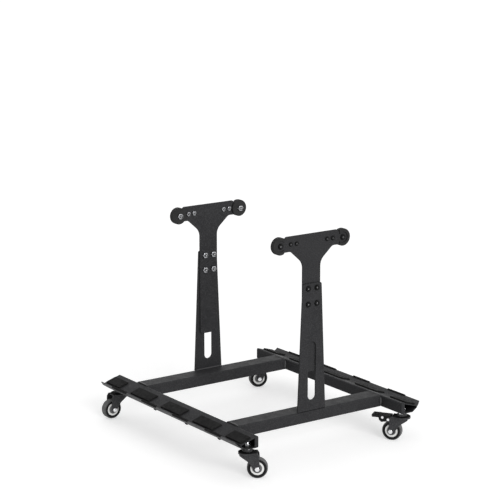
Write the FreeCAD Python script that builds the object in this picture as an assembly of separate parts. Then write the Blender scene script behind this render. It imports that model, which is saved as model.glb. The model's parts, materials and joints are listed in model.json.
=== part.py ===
import FreeCAD, Part
import math
import os

# Door dolly: a low wheeled frame that carries two vehicle doors on edge, leaning on its padded arms.
# Millimetres, +Z up, +X to the right, +Y to the rear, origin on the floor midway between the casters.

V = FreeCAD.Vector
X_AXIS = V(1, 0, 0)
Y_AXIS = V(0, 1, 0)
Z_AXIS = V(0, 0, 1)
ORIGIN = V(0, 0, 0)

# How far a cut runs past the material, and the shortest edge that an outline keeps
overrun = 1.0
shortest_edge = 0.001

# Caster wheels
wheel_diameter = 50.0
tyre_width = 20.0
tyre_edge_radius = 4.5
tyre_depth = 8.5
core_width = 18.4
core_dish_radius = 11.5
core_web_width = 9.0
cover_dish_gap = 0.2
cover_sleeve_gap = 0.4
cover_leg_gap = 0.7
cover_edge_radius = 1.5
sleeve_radius = 5.0
sleeve_running_gap = 0.05
axle_radius = 3.0
axle_hole_gap = 0.1
axle_flats = 10.0
axle_head_height = 4.0
axle_nut_height = 5.0
axle_end_length = 2.0

# Caster forks
trail = 24.0
fork_inner_width = 24.0
fork_thickness = 2.5
crown_top_height = 64.0
crown_radius = 22.0
crown_rear = 24.0
crown_skirt = 4.5
leg_end_radius = 8.0
leg_end_offset = 2.0
leg_knee_trail = 3.0
leg_knee_drop = 22.5
leg_hip_trail = 28.5
leg_hip_drop = 7.0
leg_bend_radius = 8.0
leg_corner_radius = 1.5

# Swivel bearing and threaded stem
race_gap = 4.5
cup_thickness = 1.5
cup_radius = 12.5
cup_wall = 1.8
cup_rim_gap = 2.0
cup_edge_radius = 0.8
ball_radius = 2.0
ball_circle_radius = 7.8
ball_count = 10
stem_radius = 5.0
stem_running_gap = 0.05
stem_hole_gap = 0.3
stem_flats = 17.0
stem_flange_height = 6.0
stem_head_radius = 8.0
stem_head_height = 3.0
stem_head_gap = 0.3
stem_nut_flats = 16.0
stem_nut_height = 8.0
stem_end_length = 9.0

# Brake of the two right-hand casters
pin_setback = 7.6
pin_rise = 4.9
pin_radius = 2.0
pin_running_gap = 0.05
pin_head_radius = 3.4
pin_head_height = 1.4
ear_radius = 5.5
cheek_thickness = 2.0
cheek_leg_gap = 0.7
cheek_front_reach = 5.0
cheek_front_drop = 3.5
cheek_low_reach = 18.5
cheek_low_drop = 9.0
cheek_heel_reach = 24.6
cheek_heel_drop = 4.0
cheek_rear_reach = 26.0
cheek_rear_rise = 1.8
cheek_corner_radius = 2.0
pedal_rise = 9.3
pedal_thickness = 2.5
pedal_front_reach = 5.0
toe_start = 24.0
toe_reach = 44.4
toe_depth = 6.7
toe_width = 25.0
toe_round_radius = 3.5
toe_edge_radius = 1.8
shoe_gap = 2.3
shoe_length = 8.0
shoe_height = 7.0
shoe_bearing = 60.0
rivet_reach = 15.8
rivet_rise = 3.1
rivet_radius = 2.0
rivet_head_radius = 3.2
rivet_head_height = 0.4

# Side rails, folded from sheet: a hollow section whose top slopes down to the door lip
rail_length = 620.0
rail_inner_spacing = 438.0
rail_height = 30.0
rail_foot_width = 36.0
rail_top_width = 55.0
rail_outer_height = 13.0
rail_wall = 2.0
rail_bend_radius = 3.5
rail_return_width = 10.0
stem_end_distance = 20.0

# Door lips on the outer walls of the rails, their rubber edge guards, and the rubber door pads
lip_length = 610.0
lip_thickness = 2.0
lip_foot_start = 4.0
lip_corner_reach = 0.8
lip_rise = 12.0
lip_angle = 52.0
lip_end_slant = 4.0
guard_length = 65.0
guard_cover = 2.5
guard_thickness = 2.0
guard_edge_radius = 0.9
station_pitch = 142.0
station_count = 4
screw_radius = 2.5
screw_hole_gap = 0.1
screw_head_radius = 4.0
screw_head_height = 2.6
screw_head_edge = 1.3
screw_end_length = 2.0
screw_seat = 10.0
pad_gap = 57.0
pad_start = 19.0
pad_width = 30.0
pad_thickness = 4.0
pad_end_inset = 6.0
pad_edge_radius = 1.2

# Cross tubes
cross_depth = 50.0
cross_wall = 2.0
cross_bend_radius = 3.5
cross_setback = 82.0

# Uprights
upright_height = 321.0
upright_foot_width = 84.0
upright_top_width = 56.0
upright_thickness = 4.0
upright_corner_radius = 5.0
slot_width = 24.0
slot_bottom = 27.0
slot_top = 175.0

# Arm brackets, bolted behind the uprights
bracket_thickness = 4.0
neck_width = 53.0
neck_overlap = 222.0
neck_corner_radius = 6.0
arm_axis_rise = 102.0
arm_reach = 94.0
arm_top_rise = 21.0
arm_top_half_width = 76.0
arm_under_drop = 16.5
arm_under_half_width = 63.0
arm_under_radius = 14.0
arm_flare_drop = 49.0
arm_flare_radius = 30.0
arm_corner_radius = 4.0
lobe_radius = 17.0
arm_screw_bumper_distance = 9.0
arm_screw_spacing = 17.5
arm_screw_rise = 1.5
bracket_bolt_spacing = 26.0
bracket_bolt_inset = 12.0
bracket_bolt_row_distance = 39.0

# Rubber bumpers on the arm ends, the bolts of brackets and bumpers, and the smaller screws in the arms
bumper_radius = 21.5
bumper_front_lip = 2.5
bumper_back = 7.0
bumper_window_radius = 13.5
bumper_open_reach = 10.0
bumper_edge_radius = 1.2
bolt_radius = 4.0
bolt_hole_gap = 0.2
bolt_head_radius = 6.8
bolt_head_height = 4.4
bolt_head_edge = 2.0
bolt_socket_flats = 5.0
bolt_socket_depth = 2.4
bolt_end_length = 3.0
nut_flats = 13.0
nut_height = 6.5
arm_screw_radius = 3.0
arm_screw_head_radius = 5.2
arm_screw_head_height = 3.3
arm_screw_head_edge = 1.6
arm_screw_socket_flats = 4.0
arm_screw_socket_depth = 1.8
arm_screw_end_length = 2.5
arm_nut_flats = 10.0
arm_nut_height = 5.0
thread_gap = 0.05
chamfer_share = 0.95
chamfer_slope = 0.577

# Corners as (side, end), and the rest heading of each caster's trail, in degrees about +Z from +X
caster_corners = {
    "front_left": (-1, -1),
    "front_right": (1, -1),
    "rear_left": (-1, 1),
    "rear_right": (1, 1),
}
rest_headings = {"front_left": -38.0, "front_right": 124.8, "rear_left": 180.0, "rear_right": 160.46}
braked_casters = ("front_right", "rear_right")

# Places that follow from the sizes above
axle_height = wheel_diameter / 2
core_radius = wheel_diameter / 2 - tyre_depth
crown_bottom_height = crown_top_height - fork_thickness
cup_top_height = crown_top_height + race_gap + cup_thickness
rail_bottom = cup_top_height + stem_flange_height
frame_top = rail_bottom + rail_height
rail_inner_x = rail_inner_spacing / 2
stem_x = rail_inner_x + rail_foot_width / 2
stem_y = rail_length / 2 - stem_end_distance
cross_front = rail_length / 2 - cross_setback
bracket_front = upright_thickness - cross_front
upright_top = frame_top + upright_height
arm_axis_z = upright_top + arm_axis_rise
leg_outside = fork_inner_width / 2 + fork_thickness
pin_trail = trail + pin_setback
pin_height = wheel_diameter + pin_rise
pedal_top_height = pin_height + pedal_rise
pedal_front_trail = pin_trail - pedal_front_reach
toe_start_trail = pin_trail + toe_start
cheek_outside = fork_inner_width / 2 - cheek_leg_gap


def save(name, shapes):
    """Writes one node, of one solid or of a group."""
    Part.makeCompound(shapes).exportStep("parts/" + name + ".step")


def rounded_wire(corners):
    """A closed outline in the XY plane; each corner is (x, y, radius)."""
    count = len(corners)
    bends = []
    for i in range(count):
        corner = V(corners[i][0], corners[i][1], 0)
        ahead_corner = corners[(i + 1) % count]
        radius = corners[i][2]
        back = (V(corners[i - 1][0], corners[i - 1][1], 0) - corner).normalize()
        ahead = (V(ahead_corner[0], ahead_corner[1], 0) - corner).normalize()
        half = back.getAngle(ahead) / 2
        reach = radius / math.tan(half)
        middle = corner + (back + ahead).normalize() * (radius / math.sin(half) - radius)
        bends.append((corner + back * reach, middle, corner + ahead * reach, radius))
    edges = []
    for i in range(count):
        start, middle, end, radius = bends[i]
        following = bends[(i + 1) % count][0]
        if radius > 0:
            edges.append(Part.Arc(start, middle, end).toShape())
        if (following - end).Length > shortest_edge:
            edges.append(Part.LineSegment(end, following).toShape())
    return Part.Wire(edges)


def plate_xz(corners, y, thickness):
    """A plate whose outline is drawn in X and Z, from y towards +Y."""
    face = Part.Face(rounded_wire(corners))
    face.rotate(ORIGIN, X_AXIS, 90)
    face.translate(V(0, y, 0))
    return face.extrude(V(0, thickness, 0))


def plate_xy(corners, z, thickness):
    """A plate whose outline is drawn in X and Y, from z upwards."""
    face = Part.Face(rounded_wire(corners))
    face.translate(V(0, 0, z))
    return face.extrude(V(0, 0, thickness))


def block(low, high):
    """A box between two corners."""
    size = high - low
    return Part.makeBox(size.x, size.y, size.z, low)


def rod(radius, start, direction, length):
    return Part.makeCylinder(radius, length, start, direction)


def hexagon(flats, start, direction, height):
    """A six-sided prism on any axis."""
    radius = flats / math.sqrt(3)
    angles = [k * math.pi / 3 for k in range(6)]
    points = [V(radius * math.cos(a), radius * math.sin(a), 0) for a in angles]
    prism = Part.Face(Part.makePolygon(points + points[:1])).extrude(V(0, 0, height))
    prism.Placement = FreeCAD.Placement(start, FreeCAD.Rotation(Z_AXIS, direction))
    return prism


def circle_near(shape, centre):
    """The circular edge of a shape whose centre lies nearest to a point."""
    circles = [edge for edge in shape.Edges if isinstance(edge.Curve, Part.Circle)]
    return min(circles, key=lambda edge: (edge.Curve.Center - centre).Length)


def rounded_rod(radius, start, direction, length, edge_radius):
    """A cylinder with its far edge rounded."""
    shape = rod(radius, start, direction, length)
    return shape.makeFillet(edge_radius, [circle_near(shape, start + direction * length)])


def inset(points, distance):
    """The outline of a convex counter-clockwise polygon, moved inwards."""
    count = len(points)
    moved = []
    for i in range(count):
        before = (points[i] - points[i - 1]).normalize()
        after = (points[(i + 1) % count] - points[i]).normalize()
        inner_before = V(-before.y, before.x, 0)
        inner_after = V(-after.y, after.x, 0)
        stretch = distance / (1 + inner_before.dot(inner_after))
        moved.append(points[i] + (inner_before + inner_after) * stretch)
    return moved


def rounded_all(points, radius):
    return [(p.x, p.y, radius) for p in points]


def mirror_x(shape):
    return shape.mirror(ORIGIN, X_AXIS)


def mirror_y(shape):
    return shape.mirror(ORIGIN, Y_AXIS)


# The section of the right rail: outwards, then upwards
rail_section = [
    V(rail_inner_x, rail_bottom, 0),
    V(rail_inner_x + rail_foot_width, rail_bottom, 0),
    V(rail_inner_x + rail_top_width, rail_bottom + rail_outer_height, 0),
    V(rail_inner_x, frame_top, 0),
]
wall_line = (rail_section[2] - rail_section[1]).normalize()
wall_normal = V(wall_line.y, -wall_line.x, 0)
top_line = (rail_section[2] - rail_section[3]).normalize()
top_normal = V(-top_line.y, top_line.x, 0)
lip_line = V(math.cos(math.radians(lip_angle)), math.sin(math.radians(lip_angle)), 0)
lip_normal = V(lip_line.y, -lip_line.x, 0)
lip_foot = rail_section[1] + wall_line * lip_foot_start
lip_bend = rail_section[2] + wall_line * lip_corner_reach
lip_tip = lip_bend + lip_line * lip_rise


def stations():
    """The places along a rail of the edge guards, the lip screws and the gaps between the pads."""
    return [station_pitch * (k - (station_count - 1) / 2) for k in range(station_count)]


def right_rail():
    """The folded rail: open at both ends but for a narrow return on the inner wall."""
    half = rail_length / 2
    outside = plate_xz(rounded_all(rail_section, rail_bend_radius), -half, rail_length)
    hollow_section = rounded_all(inset(rail_section, rail_wall), rail_bend_radius - rail_wall)
    hollow = plate_xz(hollow_section, -half - overrun, rail_length + 2 * overrun)
    low = V(rail_inner_x - overrun, -half, rail_bottom - overrun)
    high = V(rail_inner_x + rail_return_width, half, frame_top + overrun)
    inner_strip = block(low, high)
    between = block(low + Y_AXIS * rail_wall, high - Y_AXIS * rail_wall)
    rail = outside.cut(hollow).fuse(outside.common(inner_strip.cut(between))).removeSplitter()
    for end in (-1, 1):
        start = V(stem_x, end * stem_y, rail_bottom - overrun)
        rail = rail.cut(rod(stem_radius + stem_hole_gap, start, Z_AXIS, rail_wall + 2 * overrun))
    for y in stations():
        rail = rail.cut(lip_screw_shank(y, screw_hole_gap))
    return rail


def right_lip():
    """A bent strip: its foot lies on the rail's outer wall, and its rim stands up outside the door."""
    bend_stretch = lip_thickness / (1 + wall_normal.dot(lip_normal))
    outline = [
        lip_foot,
        lip_foot + wall_normal * lip_thickness,
        lip_bend + (wall_normal + lip_normal) * bend_stretch,
        lip_tip + lip_normal * lip_thickness,
        lip_tip,
        lip_bend,
    ]
    lip = plate_xz(rounded_all(outline, 0), -lip_length / 2, lip_length)
    for end in (-1, 1):
        lip = lip.cut(lip_end_cut(end))
    for y in stations():
        lip = lip.cut(lip_screw_shank(y, screw_hole_gap))
    return lip


def lip_end_cut(end):
    """The slanting cut that leaves the rim of the lip a little shorter than its foot."""
    y_end = end * lip_length / 2
    past_end = y_end + end * overrun
    low_z = lip_bend.y
    high_z = lip_tip.y + overrun
    points = [
        V(lip_foot.x, y_end, low_z),
        V(lip_foot.x, past_end, low_z),
        V(lip_foot.x, past_end, high_z),
        V(lip_foot.x, y_end - end * lip_end_slant, high_z),
    ]
    wedge = Part.Face(Part.makePolygon(points + points[:1]))
    return wedge.extrude(V(lip_tip.x + lip_thickness + overrun - lip_foot.x, 0, 0))


def lip_screw_point(y, height):
    """A point on the axis of a lip screw, at a height above the outer face of the lip's foot."""
    place = rail_section[1] + wall_line * screw_seat + wall_normal * (lip_thickness + height)
    return V(place.x, y, place.y)


def lip_screw_shank(y, gap):
    inwards = V(-wall_normal.x, 0, -wall_normal.y)
    length = lip_thickness + rail_wall + screw_end_length
    return rod(screw_radius + gap, lip_screw_point(y, 0), inwards, length)


def right_lip_screws():
    outwards = V(wall_normal.x, 0, wall_normal.y)
    screws = []
    for y in stations():
        seat = lip_screw_point(y, 0)
        head = rounded_rod(screw_head_radius, seat, outwards, screw_head_height, screw_head_edge)
        screws.append(head.fuse(lip_screw_shank(y, 0)))
    return screws


def right_lip_guards(lip):
    """Rubber clips over the rim of the lip."""
    low = lip_tip - lip_line * guard_cover - lip_normal * guard_thickness
    across = lip_normal * (lip_thickness + 2 * guard_thickness)
    along = lip_line * (guard_cover + guard_thickness)
    outline = rounded_all([low, low + across, low + across + along, low + along], guard_edge_radius)
    clips = [plate_xz(outline, y - guard_length / 2, guard_length) for y in stations()]
    return [clip.cut(lip) for clip in clips]


def right_door_pads():
    """Rubber strips on the sloping top of the rail, with a gap at every guard."""
    inner = rail_section[3] + top_line * pad_start
    outer = inner + top_line * pad_width
    rise = top_normal * pad_thickness
    outline = rounded_all([inner, outer], 0) + rounded_all([outer + rise, inner + rise], pad_edge_radius)
    ends = [pad_end_inset - rail_length / 2]
    for y in stations():
        ends += [y - pad_gap / 2, y + pad_gap / 2]
    ends.append(rail_length / 2 - pad_end_inset)
    return [plate_xz(outline, ends[k], ends[k + 1] - ends[k]) for k in range(0, len(ends), 2)]


def front_cross_tube():
    """A rectangular tube between the rails; its ends are welded to their inner walls."""
    section = [
        V(-cross_front, rail_bottom, 0),
        V(cross_depth - cross_front, rail_bottom, 0),
        V(cross_depth - cross_front, frame_top, 0),
        V(-cross_front, frame_top, 0),
    ]
    outside = Part.Face(rounded_wire(rounded_all(section, cross_bend_radius)))
    hollow_section = rounded_all(inset(section, cross_wall), cross_bend_radius - cross_wall)
    tube = outside.cut(Part.Face(rounded_wire(hollow_section))).extrude(V(0, 0, rail_inner_spacing))
    tube.rotate(ORIGIN, V(1, 1, 1), 120)
    tube.translate(V(-rail_inner_x, 0, 0))
    return tube


def bracket_bolt_places():
    """X and Z of the four bolts that hold a bracket to its upright."""
    heights = [upright_top - bracket_bolt_inset - k * bracket_bolt_row_distance for k in (1, 0)]
    return [(side * bracket_bolt_spacing / 2, z) for z in heights for side in (-1, 1)]


def arm_screw_places():
    """X and Z of the two screws in each arm of a bracket; the outer one stands off from the bumper's edge."""
    outer = arm_reach - bumper_radius - arm_screw_bumper_distance
    z = arm_axis_z + arm_screw_rise
    return [(side * (outer - k * arm_screw_spacing), z) for side in (-1, 1) for k in (1, 0)]


def cross_hole(radius, x, z, y, depth):
    """A cutter along Y through material that starts at y."""
    return rod(radius, V(x, y - overrun, z), Y_AXIS, depth + 2 * overrun)


def front_upright():
    """A tapered plate that stands on the cross tube, flush with the front of it."""
    foot = upright_foot_width / 2
    top = upright_top_width / 2
    outline = [
        (-foot, frame_top, 0),
        (foot, frame_top, 0),
        (top, upright_top, upright_corner_radius),
        (-top, upright_top, upright_corner_radius),
    ]
    plate = plate_xz(outline, -cross_front, upright_thickness)
    half = slot_width / 2
    slot = [
        (-half, frame_top + slot_bottom, half),
        (half, frame_top + slot_bottom, half),
        (half, frame_top + slot_top, half),
        (-half, frame_top + slot_top, half),
    ]
    plate = plate.cut(plate_xz(slot, -cross_front - overrun, upright_thickness + 2 * overrun))
    for x, z in bracket_bolt_places():
        plate = plate.cut(cross_hole(bolt_radius + bolt_hole_gap, x, z, -cross_front, upright_thickness))
    return plate


def front_arm_bracket():
    """The T-shaped plate behind the upright: a neck, two arms, and a round lobe on each arm."""
    z = arm_axis_z
    shoulder = math.sqrt(lobe_radius ** 2 - bumper_open_reach ** 2)
    side = [
        (neck_width / 2, upright_top - neck_overlap, neck_corner_radius),
        (neck_width / 2, z - arm_flare_drop, arm_flare_radius),
        (arm_under_half_width, z - arm_under_drop, arm_under_radius),
        (arm_reach, z - lobe_radius, 0),
        (arm_reach, z, 0),
        (arm_reach - bumper_open_reach, z + shoulder, 0),
        (arm_top_half_width, z + arm_top_rise, arm_corner_radius),
    ]
    outline = side + [(-x, height, radius) for x, height, radius in reversed(side)]
    plate = plate_xz(outline, bracket_front, bracket_thickness)
    for sign in (-1, 1):
        lobe_start = V(sign * arm_reach, bracket_front, z)
        plate = plate.fuse(rod(lobe_radius, lobe_start, Y_AXIS, bracket_thickness))
    plate = plate.removeSplitter()
    bolt_places = bracket_bolt_places() + [(sign * arm_reach, z) for sign in (-1, 1)]
    for x, height in bolt_places:
        hole = cross_hole(bolt_radius + bolt_hole_gap, x, height, bracket_front, bracket_thickness)
        plate = plate.cut(hole)
    for x, height in arm_screw_places():
        hole = cross_hole(arm_screw_radius + bolt_hole_gap, x, height, bracket_front, bracket_thickness)
        plate = plate.cut(hole)
    return plate


def front_right_bumper(bracket):
    """A rubber boot over the lobe: a thick back, a rim round the edge and a narrow lip in front."""
    front = V(arm_reach, bracket_front - bumper_front_lip, arm_axis_z)
    depth = bumper_front_lip + bracket_thickness + bumper_back
    boot = rod(bumper_radius, front, Y_AXIS, depth)
    rims = [circle_near(boot, front), circle_near(boot, front + Y_AXIS * depth)]
    boot = boot.makeFillet(bumper_edge_radius, rims).cut(bracket)
    window = rod(bumper_window_radius, front - Y_AXIS * overrun, Y_AXIS, bumper_front_lip + overrun)
    reach = bumper_radius + overrun
    low = V(arm_reach - reach, front.y - overrun, arm_axis_z - reach)
    high = V(arm_reach - bumper_open_reach, bracket_front + bracket_thickness, arm_axis_z + reach)
    hole = rod(bolt_radius + bolt_hole_gap, front, Y_AXIS, depth + overrun)
    return boot.cut(window).cut(block(low, high)).cut(hole)


def button_head(seat, radius, height, edge, flats, depth):
    """A rounded head with a hexagon socket, that rests on a face at its seat."""
    crest = seat - Y_AXIS * height
    socket = hexagon(flats, crest - Y_AXIS * overrun, Y_AXIS, depth + overrun)
    return rounded_rod(radius, seat, -Y_AXIS, height, edge).cut(socket)


def through_bolt(x, z, y, grip):
    """A button-head bolt whose head rests on the face at y, with its shank through the grip."""
    seat = V(x, y, z)
    head = button_head(
        seat, bolt_head_radius, bolt_head_height, bolt_head_edge, bolt_socket_flats, bolt_socket_depth)
    return head.fuse(rod(bolt_radius, seat, Y_AXIS, grip + nut_height + bolt_end_length))


def arm_screw(x, z):
    """A smaller button-head screw through the plate of an arm."""
    seat = V(x, bracket_front, z)
    head = button_head(
        seat, arm_screw_head_radius, arm_screw_head_height, arm_screw_head_edge,
        arm_screw_socket_flats, arm_screw_socket_depth)
    length = bracket_thickness + arm_nut_height + arm_screw_end_length
    return head.fuse(rod(arm_screw_radius, seat, Y_AXIS, length))


def chamfered_hexagon(flats, start, direction, height):
    """A six-sided prism with the corners of its far end turned down to a cone."""
    end_radius = flats / 2 * chamfer_share
    cone = Part.makeCone(end_radius + height / chamfer_slope, end_radius, height, start, direction)
    return hexagon(flats, start, direction, height).common(cone)


def nut(flats, height, bore_radius, start, direction):
    """A hexagon nut on any axis."""
    body = chamfered_hexagon(flats, start, direction, height)
    return body.cut(rod(bore_radius + thread_gap, start, direction, height))


def caster_stem():
    """The stem in one piece: a riveted lower head, the kingpin, a hexagon flange and the thread."""
    head_top = crown_bottom_height - stem_head_gap
    head = rod(stem_head_radius, V(0, 0, head_top - stem_head_height), Z_AXIS, stem_head_height)
    thread_top = rail_bottom + rail_wall + stem_nut_height + stem_end_length
    shank = rod(stem_radius, V(0, 0, head_top), Z_AXIS, thread_top - head_top)
    flange = hexagon(stem_flats, V(0, 0, cup_top_height), Z_AXIS, stem_flange_height)
    return head.fuse(shank).fuse(flange).removeSplitter()


def swivel_cup():
    """The upper race: a shallow cup clamped under the stem's flange, over the balls."""
    rim_z = crown_top_height + cup_rim_gap
    cup = rounded_rod(cup_radius, V(0, 0, rim_z), Z_AXIS, cup_top_height - rim_z, cup_edge_radius)
    inside = rod(cup_radius - cup_wall, V(0, 0, rim_z), Z_AXIS, race_gap - cup_rim_gap)
    return cup.cut(inside).cut(rod(stem_radius + thread_gap, V(0, 0, rim_z), Z_AXIS, cup_top_height))


def swivel_balls():
    middle = crown_top_height + race_gap / 2
    r = ball_circle_radius
    angles = [2 * math.pi * k / ball_count for k in range(ball_count)]
    centres = [V(r * math.cos(a), r * math.sin(a), middle) for a in angles]
    return [Part.makeSphere(ball_radius, centre) for centre in centres]


def fork_crown():
    """The round crown over the stem, with a skirt round its front half and a flat bridge behind."""
    skirt_z = crown_top_height - crown_skirt
    disc = rod(crown_radius, V(0, 0, skirt_z), Z_AXIS, crown_skirt)
    bowl = rod(crown_radius - fork_thickness, V(0, 0, skirt_z), Z_AXIS, crown_skirt - fork_thickness)
    reach = crown_radius + overrun
    behind = block(V(0, -reach, skirt_z - overrun), V(reach, reach, crown_bottom_height))
    low = V(0, -leg_outside, crown_bottom_height)
    bridge = block(low, V(crown_rear, leg_outside, crown_top_height))
    return disc.cut(bowl).cut(behind).fuse(bridge)


def fork_leg(y, braked):
    """One leg, from y towards +Y; a braked leg has an ear for the pedal's pin."""
    end_trail = trail - leg_end_offset
    outline = [
        (-crown_radius, crown_top_height - crown_skirt, leg_corner_radius),
        (leg_knee_trail, crown_top_height - leg_knee_drop, leg_bend_radius),
        (end_trail - leg_end_radius, axle_height, leg_bend_radius),
        (end_trail - leg_end_radius, axle_height - leg_end_radius, 0),
        (end_trail + leg_end_radius, axle_height - leg_end_radius, 0),
        (end_trail + leg_end_radius, axle_height, leg_bend_radius),
        (leg_hip_trail, crown_top_height - leg_hip_drop, leg_bend_radius),
        (crown_rear, crown_top_height, 0),
        (-crown_radius, crown_top_height, 0),
    ]
    leg = plate_xz(outline, y, fork_thickness)
    below = V(trail - 2 * leg_end_radius, y, axle_height - 2 * leg_end_radius)
    square_end = block(below, V(trail + 2 * leg_end_radius, y + fork_thickness, axle_height))
    round_end = rod(leg_end_radius, V(end_trail, y, axle_height), Y_AXIS, fork_thickness)
    leg = leg.cut(square_end).fuse(round_end)
    under_crown = rod(crown_radius, ORIGIN, Z_AXIS, crown_top_height)
    behind_stem = block(V(0, y, 0), V(trail + 2 * leg_end_radius, y + fork_thickness, crown_top_height))
    leg = leg.common(under_crown.fuse(behind_stem))
    if braked:
        ear = rod(ear_radius, V(pin_trail, y, pin_height), Y_AXIS, fork_thickness)
        root_low = V(trail, y, pin_height - ear_radius)
        root = block(root_low, V(pin_trail, y + fork_thickness, pin_height + ear_radius))
        leg = leg.fuse(ear).fuse(root)
        leg = leg.cut(cross_hole(pin_radius + thread_gap, pin_trail, pin_height, y, fork_thickness))
    return leg.cut(cross_hole(axle_radius + axle_hole_gap, trail, axle_height, y, fork_thickness))


def fork(braked):
    body = fork_crown()
    for y in (-leg_outside, fork_inner_width / 2):
        body = body.fuse(fork_leg(y, braked))
    start = V(0, 0, crown_bottom_height - overrun)
    kingpin_hole = rod(stem_radius + stem_running_gap, start, Z_AXIS, fork_thickness + 2 * overrun)
    return body.removeSplitter().cut(kingpin_hole)


def axle_bolt():
    start = V(trail, -leg_outside, axle_height)
    head = chamfered_hexagon(axle_flats, start, -Y_AXIS, axle_head_height)
    length = 2 * leg_outside + axle_nut_height + axle_end_length
    return head.fuse(rod(axle_radius, start, Y_AXIS, length))


def axle_nut():
    start = V(trail, leg_outside, axle_height)
    return nut(axle_flats, axle_nut_height, axle_radius, start, Y_AXIS)


def on_axle(radius, width):
    """A disc on the line of the axle, centred in the fork."""
    return rod(radius, V(trail, -width / 2, axle_height), Y_AXIS, width)


def axle_sleeve():
    """The steel tube that the wheel turns on, clamped between the legs."""
    bore = on_axle(axle_radius + axle_hole_gap, fork_inner_width)
    return on_axle(sleeve_radius, fork_inner_width).cut(bore)


def wheel_core():
    ring = on_axle(core_radius, core_width).cut(on_axle(core_dish_radius, core_width))
    body = ring.fuse(on_axle(core_dish_radius, core_web_width)).removeSplitter()
    return body.cut(on_axle(sleeve_radius + sleeve_running_gap, core_web_width))


def hub_covers():
    """A round cover in the dish on each side of the wheel."""
    radius = core_dish_radius - cover_dish_gap
    height = (fork_inner_width - core_web_width) / 2 - cover_leg_gap
    covers = []
    for side in (-1, 1):
        start = V(trail, side * core_web_width / 2, axle_height)
        cover = rounded_rod(radius, start, Y_AXIS * side, height, cover_edge_radius)
        covers.append(cover.cut(on_axle(sleeve_radius + cover_sleeve_gap, fork_inner_width)))
    return covers


def tyre():
    ring = on_axle(wheel_diameter / 2, tyre_width)
    rims = [edge for edge in ring.Edges if isinstance(edge.Curve, Part.Circle)]
    return ring.makeFillet(tyre_edge_radius, rims).cut(on_axle(core_radius, tyre_width))


def pedal_cheek(y):
    under_top = pedal_top_height - pedal_thickness / 2
    outline = [
        (pin_trail - cheek_front_reach, pin_height - cheek_front_drop, cheek_corner_radius),
        (pin_trail + cheek_low_reach, pin_height - cheek_low_drop, cheek_corner_radius),
        (pin_trail + cheek_heel_reach, pin_height - cheek_heel_drop, cheek_corner_radius),
        (pin_trail + cheek_rear_reach, pin_height + cheek_rear_rise, cheek_corner_radius),
        (pin_trail + cheek_rear_reach, under_top, 0),
        (pin_trail - cheek_front_reach, under_top, 0),
    ]
    return plate_xz(outline, y, cheek_thickness)


def pedal_toe():
    """The thick flat end of the pedal, a little wider than the cheeks, for the foot."""
    tip = pin_trail + toe_reach
    bottom = pedal_top_height - toe_depth
    side_view = [
        (toe_start_trail, bottom, 0),
        (tip, bottom, toe_edge_radius),
        (tip, pedal_top_height, toe_edge_radius),
        (toe_start_trail, pedal_top_height, 0),
    ]
    half = toe_width / 2
    half_plan = [(toe_start_trail, half, toe_edge_radius), (tip, half, toe_round_radius)]
    plan = half_plan + [(x, -y, radius) for x, y, radius in reversed(half_plan)]
    toe = plate_xz(side_view, -half, toe_width)
    return toe.common(plate_xy(plan, bottom, toe_depth))


def brake_shoe():
    """The block between the cheeks that comes down on the tyre, its face square to the wheel's radius."""
    half = cheek_outside - cheek_thickness / 2
    low = V(wheel_diameter / 2 + shoe_gap, -half, -shoe_length / 2)
    shoe = block(low, low + V(shoe_height, 2 * half, shoe_length))
    shoe.rotate(ORIGIN, Y_AXIS, -shoe_bearing)
    shoe.translate(V(trail, 0, axle_height))
    return shoe


def brake_pedal():
    """A foot lever: two cheeks on the pin, a flat top, a thick toe, and the brake shoe."""
    low = V(pedal_front_trail, -cheek_outside, pedal_top_height - pedal_thickness)
    body = block(low, V(toe_start_trail + pedal_thickness, cheek_outside, pedal_top_height))
    for y in (-cheek_outside, cheek_outside - cheek_thickness):
        body = body.fuse(pedal_cheek(y))
    body = body.fuse(pedal_toe()).fuse(brake_shoe()).removeSplitter()
    width = 2 * cheek_outside
    pin_bore = pin_radius + pin_running_gap
    rivet_bore = rivet_radius + thread_gap
    rivet_place = pedal_rivet_place()
    body = body.cut(cross_hole(pin_bore, pin_trail, pin_height, -cheek_outside, width))
    return body.cut(cross_hole(rivet_bore, rivet_place.x, rivet_place.z, -cheek_outside, width))


def headed_pin(radius, half_length, head_radius, head_height):
    """A pin along Y with a flat head at each end."""
    pin = rod(radius, -Y_AXIS * half_length, Y_AXIS, 2 * half_length)
    for side in (-1, 1):
        pin = pin.fuse(rod(head_radius, Y_AXIS * side * half_length, Y_AXIS * side, head_height))
    return pin.removeSplitter()


def pedal_pin():
    pin = headed_pin(pin_radius, leg_outside, pin_head_radius, pin_head_height)
    return pin.translated(V(pin_trail, 0, pin_height))


def pedal_rivet_place():
    return V(pin_trail + rivet_reach, 0, pin_height + rivet_rise)


def pedal_rivet():
    rivet = headed_pin(rivet_radius, cheek_outside, rivet_head_radius, rivet_head_height)
    return rivet.translated(pedal_rivet_place())


def at_corner(shape, corner):
    """Turns a caster's piece to its rest heading and moves it under its corner of the frame."""
    side, end = caster_corners[corner]
    placed = shape.copy()
    placed.rotate(ORIGIN, Z_AXIS, rest_headings[corner])
    placed.translate(V(side * stem_x, end * stem_y, 0))
    return placed


def save_both_sides(name, right_shapes):
    """Writes a right-hand node and its mirror image on the left."""
    save("right_" + name, right_shapes)
    save("left_" + name, [mirror_x(shape) for shape in right_shapes])


def save_both_ends(name, front_shapes):
    """Writes a front node and its mirror image at the rear."""
    save("front_" + name, front_shapes)
    save("rear_" + name, [mirror_y(shape) for shape in front_shapes])


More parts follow.
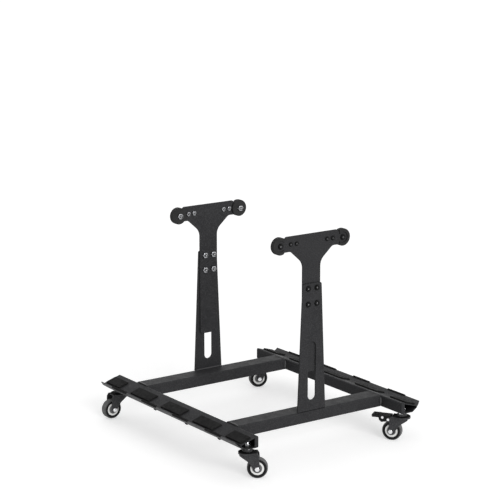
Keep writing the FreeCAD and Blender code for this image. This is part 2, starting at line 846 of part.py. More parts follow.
def build_frame():
    lip = right_lip()
    save_both_sides("rail", [right_rail()])
    save_both_sides("lip", [lip])
    save_both_sides("lip_guards", right_lip_guards(lip))
    save_both_sides("door_pads", right_door_pads())
    screws = right_lip_screws()
    save("lip_screws", screws + [mirror_x(screw) for screw in screws])
    save_both_ends("cross_tube", [front_cross_tube()])
    save_both_ends("upright", [front_upright()])


def build_arms():
    bracket = front_arm_bracket()
    bumper = front_right_bumper(bracket)
    save_both_ends("arm_bracket", [bracket])
    save_both_ends("bumpers", [bumper, mirror_x(bumper)])
    bracket_grip = upright_thickness + bracket_thickness
    bumper_grip = bracket_thickness + bumper_back
    lobe_places = [(side * arm_reach, arm_axis_z) for side in (-1, 1)]
    bracket_bolts = [through_bolt(x, z, -cross_front, bracket_grip) for x, z in bracket_bolt_places()]
    bumper_bolts = [through_bolt(x, z, bracket_front, bumper_grip) for x, z in lobe_places]
    nut_seats = [V(x, bracket_grip - cross_front, z) for x, z in bracket_bolt_places()]
    nut_seats += [V(x, bracket_front + bumper_grip, z) for x, z in lobe_places]
    nuts = [nut(nut_flats, nut_height, bolt_radius, seat, Y_AXIS) for seat in nut_seats]
    screws = [arm_screw(x, z) for x, z in arm_screw_places()]
    arm_nut_seats = [V(x, bracket_front + bracket_thickness, z) for x, z in arm_screw_places()]
    nuts += [nut(arm_nut_flats, arm_nut_height, arm_screw_radius, seat, Y_AXIS) for seat in arm_nut_seats]
    save("arm_screws", screws + [mirror_y(screw) for screw in screws])
    save("bracket_bolts", bracket_bolts + [mirror_y(bolt) for bolt in bracket_bolts])
    save("bumper_bolts", bumper_bolts + [mirror_y(bolt) for bolt in bumper_bolts])
    save("bolt_nuts", nuts + [mirror_y(each) for each in nuts])


def build_casters():
    stem_nut_seat = V(0, 0, rail_bottom + rail_wall)
    shared = {
        "caster_stems": [caster_stem()],
        "stem_nuts": [nut(stem_nut_flats, stem_nut_height, stem_radius, stem_nut_seat, Z_AXIS)],
        "swivel_cups": [swivel_cup()],
        "swivel_balls": swivel_balls(),
    }
    for name, shapes in shared.items():
        save(name, [at_corner(shape, corner) for corner in caster_corners for shape in shapes])
    for corner in caster_corners:
        braked = corner in braked_casters
        pieces = {
            "fork": [fork(braked)],
            "axle_bolt": [axle_bolt()],
            "axle_nut": [axle_nut()],
            "axle_sleeve": [axle_sleeve()],
            "wheel_core": [wheel_core()],
            "hub_covers": hub_covers(),
            "tyre": [tyre()],
        }
        if braked:
            pieces["brake_pedal"] = [brake_pedal()]
            pieces["pedal_pin"] = [pedal_pin()]
            pieces["pedal_rivet"] = [pedal_rivet()]
        for name, shapes in pieces.items():
            save(corner + "_" + name, [at_corner(shape, corner) for shape in shapes])


os.makedirs("parts", exist_ok=True)
build_frame()
build_arms()
build_casters()
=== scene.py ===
import json
import math

import bmesh
import bpy
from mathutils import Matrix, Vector

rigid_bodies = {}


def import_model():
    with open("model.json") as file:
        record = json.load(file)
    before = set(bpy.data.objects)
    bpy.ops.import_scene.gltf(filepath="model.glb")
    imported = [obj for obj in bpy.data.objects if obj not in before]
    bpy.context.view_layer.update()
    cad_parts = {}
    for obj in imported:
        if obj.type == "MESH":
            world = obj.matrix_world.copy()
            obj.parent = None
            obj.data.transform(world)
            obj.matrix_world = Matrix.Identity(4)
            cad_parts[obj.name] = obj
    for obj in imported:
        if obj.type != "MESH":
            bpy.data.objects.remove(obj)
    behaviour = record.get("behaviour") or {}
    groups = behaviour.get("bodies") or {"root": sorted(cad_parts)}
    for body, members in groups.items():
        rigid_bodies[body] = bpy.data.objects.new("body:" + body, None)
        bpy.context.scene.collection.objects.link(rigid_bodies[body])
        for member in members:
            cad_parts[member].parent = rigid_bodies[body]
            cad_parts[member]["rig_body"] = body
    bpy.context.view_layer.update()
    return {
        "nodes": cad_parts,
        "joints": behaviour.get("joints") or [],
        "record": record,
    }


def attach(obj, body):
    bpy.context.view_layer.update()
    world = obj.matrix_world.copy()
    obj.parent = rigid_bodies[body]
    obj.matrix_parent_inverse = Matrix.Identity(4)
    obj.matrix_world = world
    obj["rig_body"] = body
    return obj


for leftover in list(bpy.data.objects):
    bpy.data.objects.remove(leftover)
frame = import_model()
nodes = frame["nodes"]

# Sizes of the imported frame, in metres, that the added pieces and the finishes are set against
RAIL_INNER_X = 0.219
RAIL_BOTTOM = 0.076
FRAME_TOP = 0.106
CROSS_FRONT = 0.228
CROSS_BACK = 0.178
UPRIGHT_BACK = 0.224
UPRIGHT_FOOT_HALF = 0.042
STEM_X = 0.237
STEM_Y = 0.290
STEM_NUT_TOP = 0.0860
ARM_REACH = 0.094
ARM_AXIS = 0.529
BUMPER_NUT_BACK = 0.2065
ARM_SCREW_XS = (0.046, 0.0635)
ARM_SCREW_HEIGHT = 0.5305
ARM_NUT_BACK = 0.2150
BRACKET_BOLT_X = 0.013
BRACKET_BOLT_HEIGHTS = (0.376, 0.415)
BRACKET_NUT_BACK = 0.2135
AXLE_NUT_FACE = 0.0195
TYRE_RADIUS = 0.025
CORNERS = ((-1, -1), (1, -1), (-1, 1), (1, 1))

# Weld beads, in metres: how far each stands out, how far its ends stay back, and how deep the top one sits
SIDE_BEAD = 0.0042
SIDE_BEAD_LOW_INSET = 0.004
SIDE_BEAD_HIGH_INSET = 0.005
TOP_BEAD = 0.0034
TOP_BEAD_INSET = 0.004
TOP_BEAD_SINK = 0.0012
FOOT_BACK_BEAD = 0.0030
FOOT_BACK_INSET = 0.002
FOOT_SIDE_BEAD = 0.0024
FOOT_SIDE_INSET = 0.0035

# Along a bead, in metres: its steps, the pitch of its pools, and the length over which its ends fade
BEAD_STEP = 0.0007
BEAD_LEAST_STEPS = 8
BEAD_POOL_PITCH = 0.0026
BEAD_FADE_LENGTH = 0.004

# A bead's slow wander as rate and phase, its swells as shares of its size, and its face in degrees
BEAD_WANDERS = ((310.0, 0.0), (173.0, 1.3))
BEAD_END_SHARE = 0.35
BEAD_PLAIN_SHARE = 0.92
BEAD_POOL_SHARE = 0.12
BEAD_WANDER_SHARE = 0.06
BEAD_ROOT_SHARE = 0.25
BEAD_CROWN_SHARE = 0.10
BEAD_FACE_STEPS = 6
BEAD_FACE_START = -12.0
BEAD_FACE_SPAN = 114.0

# Threads in metres, as core radius, pitch and length, with the ridge's gap to the nut and sink in the core
STEM_THREAD = (0.0050, 0.0015, 0.0087)
BOLT_THREAD = (0.0040, 0.00125, 0.0028)
ARM_SCREW_THREAD = (0.0030, 0.0010, 0.0023)
AXLE_THREAD = (0.0030, 0.0010, 0.0018)
THREAD_NUT_GAP = 0.0001
THREAD_SINK = 0.0002

# A thread's ridge: steps in a turn, turns over which it runs out, and its section as shares of the pitch
THREAD_STEPS = 28
THREAD_RUNOUT_TURNS = 0.25
THREAD_HEIGHT_SHARE = 0.30
THREAD_FOOT_SHARE = 0.42
THREAD_CREST_SHARE = 0.06

# Studio: the world's light on surfaces, the floor, and suns as name, azimuth, elevation, strength, width
WORLD_FILL = 0.50
FLOOR_REACH = 60.0
FLOOR_GREY = 0.80
FLOOR_ROUGHNESS = 0.9
FLOOR_GLOW = 0.46
SUNS = (("key", -8.0, 20.0, 1.90, 35.0), ("back", 160.0, 25.0, 0.50, 60.0))

# The photograph's camera, found from the straight edges of the frame; the focal length is in its pixels
SENSOR_WIDTH = 36.0
PHOTO_WIDTH = 500.0
PHOTO_FOCAL_LENGTH = 1873.7
CAMERA_PLACE = (-2.6678, -3.73165, 1.50206)
CAMERA_DOWN_TILT = 12.71
CAMERA_HEADING = -35.32


# Nodes that the materials share

def new_material(name, shine):
    """An empty node material with a level of reflection: returns the material, its tree and its shader."""
    material = bpy.data.materials.new(name)
    material.use_nodes = True
    shader = material.node_tree.nodes["Principled BSDF"]
    shader.inputs["Specular IOR Level"].default_value = shine
    return material, material.node_tree, shader


def object_place(tree):
    """Each point's place in the object's own frame."""
    return tree.nodes.new("ShaderNodeTexCoord").outputs["Object"]


def noise(tree, place, scale, detail=3.0):
    """A noise over space, of about scale waves per metre."""
    node = tree.nodes.new("ShaderNodeTexNoise")
    node.inputs["Scale"].default_value = scale
    node.inputs["Detail"].default_value = detail
    tree.links.new(place, node.inputs["Vector"])
    return node.outputs["Fac"]


def spread(tree, value, low, high, start=0.3, end=0.7):
    """Maps a value from start and end, the usual span of a noise, to low and high."""
    node = tree.nodes.new("ShaderNodeMapRange")
    node.inputs["From Min"].default_value = start
    node.inputs["From Max"].default_value = end
    node.inputs["To Min"].default_value = low
    node.inputs["To Max"].default_value = high
    tree.links.new(value, node.inputs["Value"])
    return node.outputs["Result"]


def mix(tree, factor, first, second):
    """Mixes two colours; each is a colour or another node's output."""
    node = tree.nodes.new("ShaderNodeMix")
    node.data_type = "RGBA"
    tree.links.new(factor, node.inputs["Factor"])
    for socket, colour in ((node.inputs[6], first), (node.inputs[7], second)):
        if isinstance(colour, tuple):
            socket.default_value = (*colour, 1.0)
        else:
            tree.links.new(colour, socket)
    return node.outputs[2]


def math_node(tree, operation, first, second):
    """Arithmetic on two values, kept between nought and one; each is a number or a node's output."""
    node = tree.nodes.new("ShaderNodeMath")
    node.operation = operation
    node.use_clamp = True
    for socket, value in zip(node.inputs, (first, second)):
        if isinstance(value, (int, float)):
            socket.default_value = value
        else:
            tree.links.new(value, socket)
    return node.outputs["Value"]


def absolute(tree, value):
    """A value without its sign."""
    node = tree.nodes.new("ShaderNodeMath")
    node.operation = "ABSOLUTE"
    tree.links.new(value, node.inputs[0])
    return node.outputs["Value"]


def vector_node(tree, operation, vector, fixed=None):
    """A vector operation on a node's output and a fixed vector, if it needs one."""
    node = tree.nodes.new("ShaderNodeVectorMath")
    node.operation = operation
    tree.links.new(vector, node.inputs[0])
    if fixed is not None:
        node.inputs[1].default_value = fixed
    return node.outputs


def split_axes(tree, vector):
    """The three parts of a vector."""
    node = tree.nodes.new("ShaderNodeSeparateXYZ")
    tree.links.new(vector, node.inputs["Vector"])
    return node.outputs


def face_normal(tree):
    """The true normal of each face, before any rounding or bump."""
    return tree.nodes.new("ShaderNodeNewGeometry").outputs["True Normal"]


def rounded_edges(tree, radius):
    """A normal that is rounded over sharp edges, and how strongly each point lies on an edge."""
    bevel = tree.nodes.new("ShaderNodeBevel")
    bevel.samples = 6
    bevel.inputs["Radius"].default_value = radius
    dot = tree.nodes.new("ShaderNodeVectorMath")
    dot.operation = "DOT_PRODUCT"
    tree.links.new(bevel.outputs["Normal"], dot.inputs[0])
    tree.links.new(face_normal(tree), dot.inputs[1])
    return bevel.outputs["Normal"], spread(tree, dot.outputs["Value"], 1.0, 0.0, start=0.80, end=0.99)


def bumped(tree, shader, height, distance, strength, normal=None):
    """Gives a shader a bump as deep as a distance in metres, on top of a normal if there is one."""
    bump = tree.nodes.new("ShaderNodeBump")
    bump.inputs["Distance"].default_value = distance
    bump.inputs["Strength"].default_value = strength
    tree.links.new(height, bump.inputs["Height"])
    if normal is not None:
        tree.links.new(normal, bump.inputs["Normal"])
    tree.links.new(bump.outputs["Normal"], shader.inputs["Normal"])


def painted_crevice_shade(tree, reach, closed=0.25, clear=0.75):
    """Nought on open faces, rising to almost one in gaps and corners: a mask for painted shade where light
    is blocked.
    """
    occlusion = tree.nodes.new("ShaderNodeAmbientOcclusion")
    occlusion.samples = 6
    occlusion.inputs["Distance"].default_value = reach
    return spread(tree, occlusion.outputs["AO"], 0.9, 0.0, start=closed, end=clear)


def near(tree, value, target, width):
    """One where a value lies within a width of a target, fading out over as much again."""
    offset = tree.nodes.new("ShaderNodeMath")
    offset.operation = "SUBTRACT"
    tree.links.new(value, offset.inputs[0])
    offset.inputs[1].default_value = target
    distance = absolute(tree, offset.outputs["Value"])
    return spread(tree, distance, 1.0, 0.0, start=width, end=2.0 * width)


def foot_seam_shade(tree, place):
    """Painted shade: the dark line where each upright stands on its cross tube, flush with the tube's
    outer face.
    """
    axes = split_axes(tree, place)
    on_face = near(tree, absolute(tree, axes["Y"]), CROSS_FRONT, width=0.0008)
    on_foot = near(tree, axes["X"], 0.0, width=UPRIGHT_FOOT_HALF)
    at_joint = near(tree, axes["Z"], FRAME_TOP, width=0.0006)
    inside = math_node(tree, "GREATER_THAN", on_foot, 0.99)
    return math_node(tree, "MULTIPLY", math_node(tree, "MULTIPLY", on_face, inside), at_joint)


def up_facing(tree):
    """One on faces that look up, nought on steep ones and on undersides."""
    return spread(tree, split_axes(tree, face_normal(tree))["Z"], 0.0, 1.0, start=0.6, end=0.9)


# Materials

def coated_steel(name, shine, colour, tint, edge_colour, rough, grain, edge_radius, gap=0.004,
                 seam_shade=False, shaded_top=False):
    """Powder coat or paint: faint patches and specks, a fine orange peel, edges made lighter partly as
    rubbed paint and partly as painted highlight, and painted shade in gaps and corners.
    """
    material, tree, shader = new_material(name, shine)
    place = object_place(tree)
    patches = spread(tree, noise(tree, place, scale=22.0, detail=5.0), 0.0, 1.0)
    specks = spread(tree, noise(tree, place, scale=420.0, detail=2.0), 0.0, 1.0, start=0.45, end=0.75)
    normal, edge = rounded_edges(tree, edge_radius)
    edge_rub_and_highlight = spread(tree, noise(tree, place, scale=90.0, detail=4.0), 0.0, 0.9)
    speck_colour = tuple(1.7 * value for value in tint)
    body = mix(tree, patches, colour, tint)
    body = mix(tree, specks, body, speck_colour)
    # Edges made lighter: partly rubbed paint, partly a painted highlight.
    body = mix(tree, math_node(tree, "MULTIPLY", edge, edge_rub_and_highlight), body, edge_colour)
    # Painted shade: gaps, corners and deep recesses darkened toward a near-black copy of the colour, where
    # light is blocked.
    shade_colour = tuple(0.15 * value for value in colour)
    deep = painted_crevice_shade(tree, reach=0.05, closed=0.15, clear=0.45)
    painted_shade = math_node(tree, "MAXIMUM", painted_crevice_shade(tree, gap), deep)
    # Painted shade along the foot of each upright.
    if seam_shade:
        painted_shade = math_node(tree, "MAXIMUM", painted_shade, foot_seam_shade(tree, place))
    roughness = spread(tree, noise(tree, place, scale=60.0), *rough)
    # Faces that look up get painted shade as well as a higher roughness.
    if shaded_top:
        top = up_facing(tree)
        painted_shade = math_node(tree, "MAXIMUM", painted_shade, top)
        roughness = math_node(tree, "MAXIMUM", roughness, math_node(tree, "MULTIPLY", top, 0.95))
    tree.links.new(mix(tree, painted_shade, body, shade_colour), shader.inputs["Base Color"])
    tree.links.new(roughness, shader.inputs["Roughness"])
    orange_peel = noise(tree, place, scale=grain, detail=2.0)
    bumped(tree, shader, orange_peel, distance=0.00006, strength=0.5, normal=normal)
    return material


def moulded(name, shine, colour, tint, rough, grain, depth, edge_radius):
    """Rubber or plastic out of a mould: soft colour patches, a fine texture and softened edges."""
    material, tree, shader = new_material(name, shine)
    place = object_place(tree)
    patches = spread(tree, noise(tree, place, scale=35.0, detail=4.0), 0.0, 1.0)
    normal, _ = rounded_edges(tree, edge_radius)
    tree.links.new(mix(tree, patches, colour, tint), shader.inputs["Base Color"])
    tree.links.new(spread(tree, noise(tree, place, scale=120.0), *rough), shader.inputs["Roughness"])
    bumped(tree, shader, noise(tree, place, scale=grain), distance=depth, strength=0.6, normal=normal)
    return material


def brushed(tree, shader, place, rough):
    """The lively roughness, fine scratches and softened edges of bare or plated steel."""
    tree.links.new(spread(tree, noise(tree, place, scale=400.0), *rough), shader.inputs["Roughness"])
    normal, _ = rounded_edges(tree, radius=0.0004)
    scratches = noise(tree, place, scale=2400.0, detail=2.0)
    bumped(tree, shader, scratches, distance=0.00003, strength=0.4, normal=normal)


def plated_steel(name, colour, tint, rough):
    """Bright plate with a cloudy colour."""
    material, tree, shader = new_material(name, shine=0.5)
    place = object_place(tree)
    shader.inputs["Metallic"].default_value = 1.0
    clouds = spread(tree, noise(tree, place, scale=140.0, detail=4.0), 0.0, 1.0)
    tree.links.new(mix(tree, clouds, colour, tint), shader.inputs["Base Color"])
    brushed(tree, shader, place, rough)
    return material


def bolt_highlight_steel(name, bright, bright_radius, axes):
    """Bolts with black heads and a painted highlight, a bright metallic spot on each head's axis; an axis
    is an X, taken on both sides, and a Z.
    """
    material, tree, shader = new_material(name, shine=0.06)
    place = object_place(tree)
    parts = split_axes(tree, place)
    from_axis = tree.nodes.new("ShaderNodeCombineXYZ")
    tree.links.new(absolute(tree, parts["X"]), from_axis.inputs["X"])
    tree.links.new(parts["Z"], from_axis.inputs["Z"])
    spots = []
    for x, z in axes:
        radius = vector_node(tree, "DISTANCE", from_axis.outputs["Vector"], (x, 0.0, z))["Value"]
        spots.append(spread(tree, radius, 1.0, 0.0, start=0.8 * bright_radius, end=1.2 * bright_radius))
    highlight_spot = spots[0]
    for spot in spots[1:]:
        highlight_spot = math_node(tree, "MAXIMUM", highlight_spot, spot)
    clouds = spread(tree, noise(tree, place, scale=300.0, detail=4.0), 0.0, 1.0)
    dark = mix(tree, clouds, (0.006, 0.006, 0.0062), (0.0108, 0.0108, 0.01116))
    # The spots are a painted highlight at the centre of each head.
    tree.links.new(mix(tree, highlight_spot, dark, bright), shader.inputs["Base Color"])
    tree.links.new(highlight_spot, shader.inputs["Metallic"])
    brushed(tree, shader, place, rough=(0.20, 0.36))
    return material


def tyre_rubber(name, centre, axle):
    """Solid rubber: dark walls, and a paler, dusty and scuffed tread away from the axle."""
    material, tree, shader = new_material(name, shine=0.06)
    place = object_place(tree)
    arm = vector_node(tree, "SUBTRACT", place, centre)["Vector"]
    across = vector_node(tree, "CROSS_PRODUCT", arm, axle)["Vector"]
    radius = vector_node(tree, "LENGTH", across)["Value"]
    tread = spread(tree, radius, 0.0, 1.0, start=TYRE_RADIUS - 0.0035, end=TYRE_RADIUS - 0.0002)
    bands = tree.nodes.new("ShaderNodeTexNoise")
    bands.noise_dimensions = "1D"
    bands.inputs["Scale"].default_value = 420.0
    tree.links.new(vector_node(tree, "DOT_PRODUCT", arm, axle)["Value"], bands.inputs["W"])
    scuffs = spread(tree, noise(tree, place, scale=260.0, detail=6.0), 0.45, 1.0)
    scuffs = math_node(tree, "MULTIPLY", scuffs, spread(tree, bands.outputs["Fac"], 0.55, 1.0))
    dust = math_node(tree, "MULTIPLY", tread, scuffs)
    patches = spread(tree, noise(tree, place, scale=70.0, detail=4.0), 0.0, 1.0)
    wall = mix(tree, patches, (0.009, 0.009, 0.0095), (0.016, 0.016, 0.0165))
    tree.links.new(mix(tree, dust, wall, (0.26, 0.26, 0.262)), shader.inputs["Base Color"])
    tree.links.new(spread(tree, dust, 0.45, 0.8, start=0.0, end=1.0), shader.inputs["Roughness"])
    bumped(tree, shader, noise(tree, place, scale=900.0, detail=4.0), distance=0.0001, strength=0.5)
    return material


MATERIALS = {
    # Frame coat: painted shade along the uprights' feet, on top of the painted shade in gaps.
    "frame_coat": coated_steel(
        "frame_coat", shine=0.04, colour=(0.026, 0.026, 0.0275), tint=(0.033, 0.033, 0.0345),
        edge_colour=(0.11, 0.11, 0.112), rough=(0.46, 0.60), grain=1500.0, edge_radius=0.0007, seam_shade=True),
    # A paler copy of the frame coat for the lips: painted light standing in for the floor's reflection on
    # them.
    "lip_coat_painted_light": coated_steel(
        "lip_coat_painted_light", shine=0.10, colour=(0.058, 0.058, 0.060), tint=(0.072, 0.072, 0.074),
        edge_colour=(0.16, 0.16, 0.162), rough=(0.40, 0.52), grain=1500.0, edge_radius=0.0007),
    # Paler than the frame coat: a painted highlight on the weld beads.
    "weld_coat": coated_steel(
        "weld_coat", shine=0.30, colour=(0.034, 0.034, 0.0355), tint=(0.046, 0.046, 0.048),
        edge_colour=(0.14, 0.14, 0.142), rough=(0.30, 0.42), grain=1500.0, edge_radius=0.0003),
    # Caster steel: painted shade reaching far under the rail, and painted shade on faces that look up.
    "caster_steel": coated_steel(
        "caster_steel", shine=0.14, colour=(0.024, 0.024, 0.0255), tint=(0.042, 0.042, 0.044),
        edge_colour=(0.16, 0.16, 0.16), rough=(0.24, 0.40), grain=1100.0, edge_radius=0.0007,
        gap=0.030, shaded_top=True),
    # Very light edges: a painted highlight on the rims of the swivel cups.
    "cap_steel_rim_highlight": coated_steel(
        "cap_steel_rim_highlight", shine=0.20, colour=(0.024, 0.024, 0.0255), tint=(0.042, 0.042, 0.044),
        edge_colour=(0.50, 0.50, 0.51), rough=(0.20, 0.34), grain=1100.0, edge_radius=0.0008),
    "pedal_black": coated_steel(
        "pedal_black", shine=0.06, colour=(0.009, 0.009, 0.0095), tint=(0.016, 0.016, 0.0165),
        edge_colour=(0.06, 0.06, 0.06), rough=(0.14, 0.32), grain=1300.0, edge_radius=0.0008),
    "bolt_black": coated_steel(
        "bolt_black", shine=0.20, colour=(0.016, 0.016, 0.0165), tint=(0.026, 0.026, 0.0265),
        edge_colour=(0.14, 0.14, 0.14), rough=(0.22, 0.38), grain=1800.0, edge_radius=0.0004),
    "pad_rubber": moulded(
        "pad_rubber", shine=0.05, colour=(0.010, 0.010, 0.010), tint=(0.017, 0.017, 0.017),
        rough=(0.62, 0.85), grain=1200.0, depth=0.00010, edge_radius=0.0008),
    "bumper_rubber": moulded(
        "bumper_rubber", shine=0.05, colour=(0.027, 0.027, 0.027), tint=(0.035, 0.035, 0.035),
        rough=(0.55, 0.80), grain=1500.0, depth=0.00008, edge_radius=0.0008),
    "wheel_core": moulded(
        "wheel_core", shine=0.4, colour=(0.88, 0.88, 0.87), tint=(0.80, 0.80, 0.785),
        rough=(0.28, 0.46), grain=800.0, depth=0.00004, edge_radius=0.0006),
    "hub_cover": moulded(
        "hub_cover", shine=0.2, colour=(0.10, 0.10, 0.102), tint=(0.16, 0.16, 0.163),
        rough=(0.34, 0.52), grain=1000.0, depth=0.00004, edge_radius=0.0006),
    "zinc": plated_steel("zinc", colour=(0.86, 0.86, 0.87), tint=(0.74, 0.745, 0.76), rough=(0.12, 0.30)),
    "bolt_steel": plated_steel(
        "bolt_steel", colour=(0.50, 0.50, 0.51), tint=(0.38, 0.39, 0.41), rough=(0.22, 0.42)),
    # Bolt heads with a painted highlight: a bright metallic spot at the centre of each.
    "bumper_bolts": bolt_highlight_steel(
        "bumper_bolts", bright=(0.34, 0.34, 0.345), bright_radius=0.0024, axes=[(ARM_REACH, ARM_AXIS)]),
    "bracket_bolts": bolt_highlight_steel(
        "bracket_bolts", bright=(0.42, 0.42, 0.425), bright_radius=0.0022,
        axes=[(BRACKET_BOLT_X, height) for height in BRACKET_BOLT_HEIGHTS]),
    "arm_screws": bolt_highlight_steel(
        "arm_screws", bright=(0.22, 0.22, 0.225), bright_radius=0.0020,
        axes=[(x, ARM_SCREW_HEIGHT) for x in ARM_SCREW_XS]),
}

# Nodes whose finish differs from that of their slot
OWN_FINISHES = {
    "left_lip": "lip_coat_painted_light",
    "right_lip": "lip_coat_painted_light",
    "swivel_cups": "cap_steel_rim_highlight",
    "bumper_bolts": "bumper_bolts",
    "bracket_bolts": "bracket_bolts",
    "arm_screws": "arm_screws",
}


def dress_cad_nodes():
    """Gives every solid its finish; each tyre has its own, because its tread is found from its axle."""
    slots = {entry["node"]: entry["material_slot"] for entry in frame["record"]["subparts"]}
    rolls = {joint["child"]: joint for joint in frame["joints"] if joint["name"].endswith("_roll")}
    for name, node in nodes.items():
        slot = slots[name]
        if slot == "tyre":
            roll = rolls[node["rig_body"]]
            finish = tyre_rubber(name + "_rubber", roll["pos_m"], roll["axis"])
        else:
            finish = MATERIALS[OWN_FINISHES.get(name, slot)]
        node.data.materials.clear()
        node.data.materials.append(finish)


# Weld beads and threads

def piece_from(name, mesh_data, material, body):
    """Makes a smooth-shaded piece of a bmesh that rides on a body."""
    mesh = bpy.data.meshes.new(name)
    bmesh.ops.recalc_face_normals(mesh_data, faces=mesh_data.faces)
    mesh_data.to_mesh(mesh)
    mesh_data.free()
    for polygon in mesh.polygons:
        polygon.use_smooth = True
    mesh.materials.append(material)
    piece = bpy.data.objects.new(name, mesh)
    bpy.context.scene.collection.objects.link(piece)
    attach(piece, body)


def add_rings(mesh_data, rings):
    """Skins a list of rings of points, closed round each ring and capped at both ends."""
    loops = [[mesh_data.verts.new(point) for point in ring] for ring in rings]
    count = len(loops[0])
    for first, second in zip(loops, loops[1:]):
        for i in range(count):
            j = (i + 1) % count
            mesh_data.faces.new((first[i], first[j], second[j], second[i]))
    mesh_data.faces.new(loops[0])
    mesh_data.faces.new(list(reversed(loops[-1])))


def add_bead(mesh_data, start, end, out_a, out_b, size):
    """One weld bead along a straight joint between two faces, with the ripples of its pools."""
    along = end - start
    count = max(BEAD_LEAST_STEPS, round(along.length / BEAD_STEP))
    rings = []
    for i in range(count + 1):
        t = i / count
        place = start + along * t
        travelled = t * along.length
        pool = abs(math.sin(math.pi * travelled / BEAD_POOL_PITCH))
        waves = [math.sin(travelled * rate + phase) for rate, phase in BEAD_WANDERS]
        wander = sum(waves) / len(waves)
        from_end = min(t, 1.0 - t) * along.length / BEAD_FADE_LENGTH
        fade = min(1.0, BEAD_END_SHARE + (1.0 - BEAD_END_SHARE) * from_end)
        reach = size * fade * (BEAD_PLAIN_SHARE + BEAD_POOL_SHARE * pool + BEAD_WANDER_SHARE * wander)
        ring = [place - (out_a + out_b) * size * BEAD_ROOT_SHARE]
        for k in range(BEAD_FACE_STEPS + 1):
            angle = math.radians(BEAD_FACE_START + BEAD_FACE_SPAN * k / BEAD_FACE_STEPS)
            crown = 1.0 + BEAD_CROWN_SHARE * math.sin(math.pi * k / BEAD_FACE_STEPS)
            ring.append(place + (out_a * math.cos(angle) + out_b * math.sin(angle)) * reach * crown)
        rings.append(ring)
    add_rings(mesh_data, rings)


def build_cross_welds(end, sign, side, hand):
    """The beads where one end of a cross tube meets its rail: up both of its faces, and over its top."""
    mesh_data = bmesh.new()
    x = hand * RAIL_INNER_X
    inward = Vector((-hand, 0, 0))
    out = Vector((0, sign, 0))
    up = Vector((0, 0, 1))
    low = RAIL_BOTTOM + SIDE_BEAD_LOW_INSET
    high = FRAME_TOP - SIDE_BEAD_HIGH_INSET
    for y, face in ((sign * CROSS_FRONT, out), (sign * CROSS_BACK, -out)):
        add_bead(mesh_data, Vector((x, y, low)), Vector((x, y, high)), inward, face, SIDE_BEAD)
    top = FRAME_TOP - TOP_BEAD_SINK
    top_start = Vector((x, sign * (CROSS_BACK + TOP_BEAD_INSET), top))
    top_end = Vector((x, sign * (CROSS_FRONT - TOP_BEAD_INSET), top))
    add_bead(mesh_data, top_start, top_end, inward, up, TOP_BEAD)
    piece_from("weld_%s_%s" % (end, side), mesh_data, MATERIALS["weld_coat"], "frame")


def build_foot_welds(end, sign):
    """The beads along the back and the two sides of an upright's foot."""
    mesh_data = bmesh.new()
    up = Vector((0, 0, 1))
    inward = Vector((0, -sign, 0))
    foot = UPRIGHT_FOOT_HALF - FOOT_BACK_INSET
    back = sign * UPRIGHT_BACK
    back_start = Vector((-foot, back, FRAME_TOP))
    back_end = Vector((foot, back, FRAME_TOP))
    add_bead(mesh_data, back_start, back_end, inward, up, FOOT_BACK_BEAD)
    for hand in (-1, 1):
        x = hand * UPRIGHT_FOOT_HALF
        side_start = Vector((x, sign * (CROSS_FRONT - FOOT_SIDE_INSET), FRAME_TOP))
        side_end = Vector((x, back, FRAME_TOP))
        add_bead(mesh_data, side_start, side_end, Vector((hand, 0, 0)), up, FOOT_SIDE_BEAD)
    piece_from("weld_%s_upright" % end, mesh_data, MATERIALS["weld_coat"], "frame")


def build_welds():
    """Beads where the cross tubes meet the rails, and along the feet of the uprights."""
    for end, sign in (("front", -1), ("rear", 1)):
        for side, hand in (("left", -1), ("right", 1)):
            build_cross_welds(end, sign, side, hand)
        build_foot_welds(end, sign)


def add_thread(mesh_data, base, axis, radius, pitch, length):
    """A screw thread on a plain rod: one ridge that winds along it."""
    side = axis.orthogonal().normalized()
    other = axis.cross(side)
    count = int(THREAD_STEPS * (length - pitch) / pitch)
    foot = axis * pitch * THREAD_FOOT_SHARE
    half_crest = axis * pitch * THREAD_CREST_SHARE
    rings = []
    for i in range(count + 1):
        turn = i / THREAD_STEPS
        turns_left = (count - i) / THREAD_STEPS
        angle = 2.0 * math.pi * turn
        out = side * math.cos(angle) + other * math.sin(angle)
        fade = min(1.0, turn / THREAD_RUNOUT_TURNS, turns_left / THREAD_RUNOUT_TURNS)
        place = base + axis * pitch * (turn + 0.5)
        root = place + out * (radius - THREAD_SINK)
        crest = place + out * (radius + pitch * THREAD_HEIGHT_SHARE * fade)
        rings.append([root - foot, crest - half_crest, crest + half_crest, root + foot])
    add_rings(mesh_data, rings)


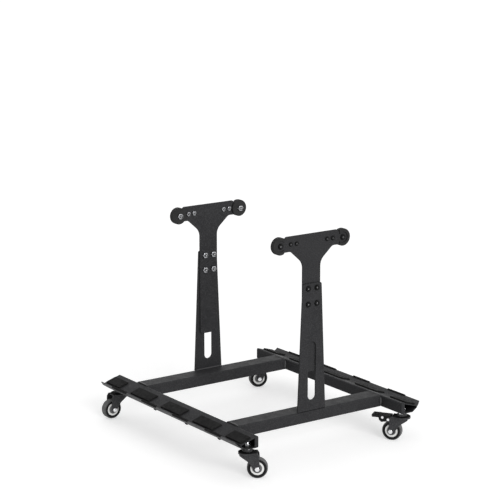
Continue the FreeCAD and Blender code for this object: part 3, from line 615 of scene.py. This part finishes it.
def build_threads():
    """Threads on the ends of the stems, bracket bolts, bumper bolts, arm screws and axle bolts."""
    up = Vector((0, 0, 1))
    mesh_data = bmesh.new()
    for hand, sign in CORNERS:
        start = Vector((hand * STEM_X, sign * STEM_Y, STEM_NUT_TOP + THREAD_NUT_GAP))
        add_thread(mesh_data, start, up, *STEM_THREAD)
    piece_from("stem_threads", mesh_data, MATERIALS["zinc"], "frame")
    mesh_data = bmesh.new()
    bolts = [(BRACKET_BOLT_X, height, BRACKET_NUT_BACK, BOLT_THREAD) for height in BRACKET_BOLT_HEIGHTS]
    bolts += [(ARM_REACH, ARM_AXIS, BUMPER_NUT_BACK, BOLT_THREAD)]
    bolts += [(x, ARM_SCREW_HEIGHT, ARM_NUT_BACK, ARM_SCREW_THREAD) for x in ARM_SCREW_XS]
    for sign in (-1, 1):
        for hand in (-1, 1):
            for x, z, nut_back, thread in bolts:
                start = Vector((hand * x, sign * (nut_back - THREAD_NUT_GAP), z))
                add_thread(mesh_data, start, Vector((0, -sign, 0)), *thread)
    piece_from("bolt_threads", mesh_data, MATERIALS["bolt_steel"], "frame")
    for joint in frame["joints"]:
        if joint["name"].endswith("_roll"):
            axle = Vector(joint["axis"])
            caster = joint["parent"]
            mesh_data = bmesh.new()
            start = Vector(joint["pos_m"]) + axle * (AXLE_NUT_FACE + THREAD_NUT_GAP)
            add_thread(mesh_data, start, axle, *AXLE_THREAD)
            piece_from(caster + "_axle_thread", mesh_data, MATERIALS["zinc"], caster)


# Stage, light and camera

def seen_directly(tree):
    """One for camera, glossy and transmission rays, nought for light that is only scattered."""
    path = tree.nodes.new("ShaderNodeLightPath")
    total = math_node(tree, "ADD", path.outputs["Is Camera Ray"], path.outputs["Is Glossy Ray"])
    return math_node(tree, "ADD", total, path.outputs["Is Transmission Ray"])


def build_floor():
    """A plain pale floor that keeps the shadow and reads as white where nothing shades it."""
    mesh = bpy.data.meshes.new("floor")
    corners = [(x * FLOOR_REACH, y * FLOOR_REACH, 0.0) for x, y in ((-1, -1), (1, -1), (1, 1), (-1, 1))]
    mesh.from_pydata(corners, [], [(0, 1, 2, 3)])
    floor = bpy.data.objects.new("floor", mesh)
    bpy.context.scene.collection.objects.link(floor)
    material, tree, shader = new_material("floor", shine=0.0)
    shader.inputs["Base Color"].default_value = (FLOOR_GREY, FLOOR_GREY, FLOOR_GREY, 1.0)
    shader.inputs["Roughness"].default_value = FLOOR_ROUGHNESS
    shader.inputs["Emission Color"].default_value = (1.0, 1.0, 1.0, 1.0)
    glow = spread(tree, seen_directly(tree), 0.0, FLOOR_GLOW, start=0.0, end=1.0)
    tree.links.new(glow, shader.inputs["Emission Strength"])
    mesh.materials.append(material)


def build_light():
    """A white world, dimmer for scattered light, and the suns."""
    world = bpy.data.worlds.new("studio")
    bpy.context.scene.world = world
    world.use_nodes = True
    tree = world.node_tree
    background = tree.nodes["Background"]
    background.inputs["Color"].default_value = (1.0, 1.0, 1.0, 1.0)
    level = spread(tree, seen_directly(tree), WORLD_FILL, 1.0, start=0.0, end=1.0)
    tree.links.new(level, background.inputs["Strength"])
    for name, azimuth, elevation, strength, width in SUNS:
        lamp = bpy.data.lights.new(name, "SUN")
        lamp.energy = strength
        lamp.angle = math.radians(width)
        sun = bpy.data.objects.new(name, lamp)
        sun.rotation_euler = (math.radians(90.0 - elevation), 0.0, math.radians(azimuth))
        bpy.context.scene.collection.objects.link(sun)


def build_camera():
    """The photograph's view."""
    lens = bpy.data.cameras.new("camera")
    lens.sensor_width = SENSOR_WIDTH
    lens.lens = SENSOR_WIDTH * PHOTO_FOCAL_LENGTH / PHOTO_WIDTH
    camera = bpy.data.objects.new("camera", lens)
    camera.location = CAMERA_PLACE
    camera.rotation_euler = (math.radians(90.0 - CAMERA_DOWN_TILT), 0.0, math.radians(CAMERA_HEADING))
    bpy.context.scene.collection.objects.link(camera)
    bpy.context.scene.camera = camera


dress_cad_nodes()
build_welds()
build_threads()
build_floor()
build_light()
build_camera()
bpy.context.scene.view_settings.view_transform = "Standard"
